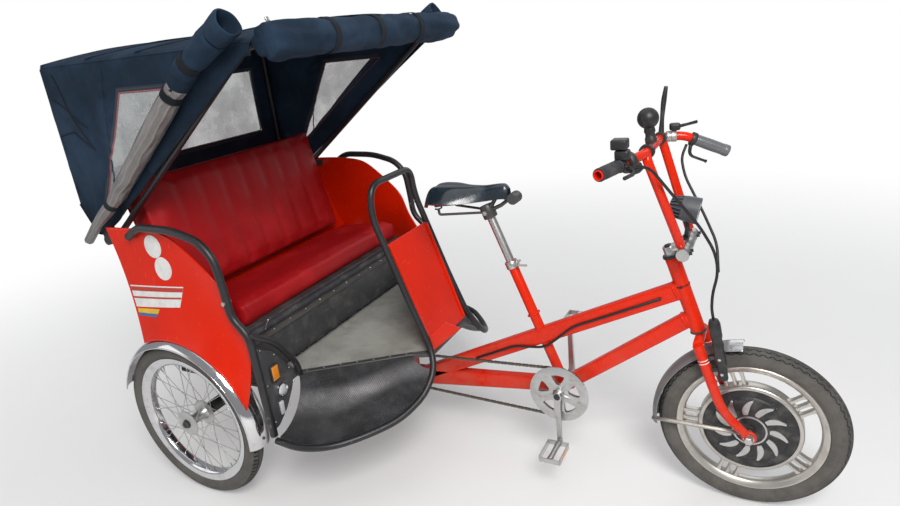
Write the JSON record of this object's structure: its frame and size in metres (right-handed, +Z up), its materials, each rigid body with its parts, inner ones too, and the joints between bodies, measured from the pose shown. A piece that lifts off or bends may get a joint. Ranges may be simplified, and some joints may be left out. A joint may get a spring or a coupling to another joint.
{
  "type": "cycle rickshaw",
  "caption": "Pedal rickshaw with a steered front wheel and hub motor, a moulded bench body over spoked rear wheels, coved side steps and a cloth hood with rolled curtains.",
  "frame": {"origin": "on the ground under the middle of the whole", "axes": "+X the way it drives, +Y to the rider's left, +Z up"},
  "size_m": [2.326, 1.22, 1.5507],
  "materials": {
    "orange_paint": "gloss orange paint",
    "black_tube": "worn black coating",
    "black_plastic": "matte",
    "black_rubber": "matte",
    "grey_plastic": "matte",
    "grey_panel": "satin dark grey sheet",
    "orange_body": "gloss moulded orange",
    "tyre": "road tread",
    "chrome": "bright",
    "silver": "satin",
    "cast_wheel": "cast, satin",
    "motor": "satin black and grey",
    "red_leathercloth": "satin leathercloth",
    "hood_cloth": "coated canvas",
    "clear_sheet": "clear flexible sheet, hazy",
    "carpet": "worn carpet",
    "cable": "satin sheath",
    "chain_steel": "oily"
  },
  "bodies": {
    "frame": {"main_frame": "orange_paint", "rear_chassis": "orange_paint", "rear_axle": "black_tube", "chain": "chain_steel", "floor": "grey_panel", "carpet": "carpet", "step_left": "black_plastic", "step_right": "black_plastic", "side_panel_left": "orange_body", "side_panel_right": "orange_body", "front_side_panel_left": "grey_panel", "front_side_panel_right": "grey_panel", "seat_base": "grey_panel", "back_board": "orange_body", "front_bulkhead": "orange_body", "battery": "black_plastic", "seat_cushion": "red_leathercloth", "back_cushion": "red_leathercloth", "arm_tube_left": "black_tube", "arm_tube_right": "black_tube", "front_hoop": "black_tube", "rear_mudguard_left": "chrome", "rear_mudguard_right": "chrome", "hood_cover": "hood_cloth", "side_window_left": "clear_sheet", "side_window_right": "clear_sheet", "hood_frame": "black_tube", "side_curtain_left": "hood_cloth", "side_curtain_right": "hood_cloth", "front_curtain_roll": "hood_cloth", "saddle": "black_plastic", "saddle_frame": "black_tube", "seat_post": "silver", "seat_clamp": "silver", "frame_cable": "cable"},
    "steering": {"fork": "orange_paint", "front_axle": "silver", "stem": "silver", "handlebar": "orange_paint", "grip_left": "grey_plastic", "grip_right": "grey_plastic", "brake_lever_left": "black_plastic", "brake_lever_right": "black_plastic", "horn_bulb": "black_rubber", "headlamp": "grey_plastic", "front_mudguard": "grey_plastic", "front_brake": "black_plastic", "brake_cables": "cable"},
    "front_wheel": {"front_tyre": "tyre", "front_wheel": "cast_wheel", "hub_motor": "motor"},
    "rear_wheel_left": {"rear_tyre_left": "tyre", "rear_wheel_left": "chrome"},
    "rear_wheel_right": {"rear_tyre_right": "tyre", "rear_wheel_right": "chrome"},
    "crank": {"crankset": "silver"},
    "pedal_left": {"pedal_left": "silver"},
    "pedal_right": {"pedal_right": "silver"},
    "sprocket": {"drive_sprocket": "silver"}
  },
  "joints": [
    {"name": "steering", "type": "hinge", "parent": "frame", "child": "steering", "pos_m": [0.759, 0, 0.546], "axis": [-0.32, 0, 0.9474], "range_deg": [-50, 50]},
    {"name": "front_wheel", "type": "hinge", "parent": "steering", "child": "front_wheel", "pos_m": [0.906, 0, 0.257], "axis": [0, 1, 0], "continuous": true},
    {"name": "rear_wheel_left", "type": "hinge", "parent": "frame", "child": "rear_wheel_left", "pos_m": [-0.783, 0.559, 0.287], "axis": [0, 1, 0], "continuous": true},
    {"name": "rear_wheel_right", "type": "hinge", "parent": "frame", "child": "rear_wheel_right", "pos_m": [-0.783, -0.559, 0.287], "axis": [0, 1, 0], "continuous": true},
    {"name": "crank", "type": "hinge", "parent": "frame", "child": "crank", "pos_m": [0.347, 0, 0.298], "axis": [0, 1, 0], "continuous": true},
    {"name": "pedal_left", "type": "hinge", "parent": "crank", "child": "pedal_left", "pos_m": [0.347, 0.143, 0.468], "axis": [0, 1, 0], "continuous": true},
    {"name": "pedal_right", "type": "hinge", "parent": "crank", "child": "pedal_right", "pos_m": [0.347, -0.143, 0.128], "axis": [0, 1, 0], "continuous": true},
    {"name": "sprocket", "type": "hinge", "parent": "frame", "child": "sprocket", "pos_m": [-0.783, -0.058, 0.287], "axis": [0, 1, 0], "continuous": true}
  ]
}
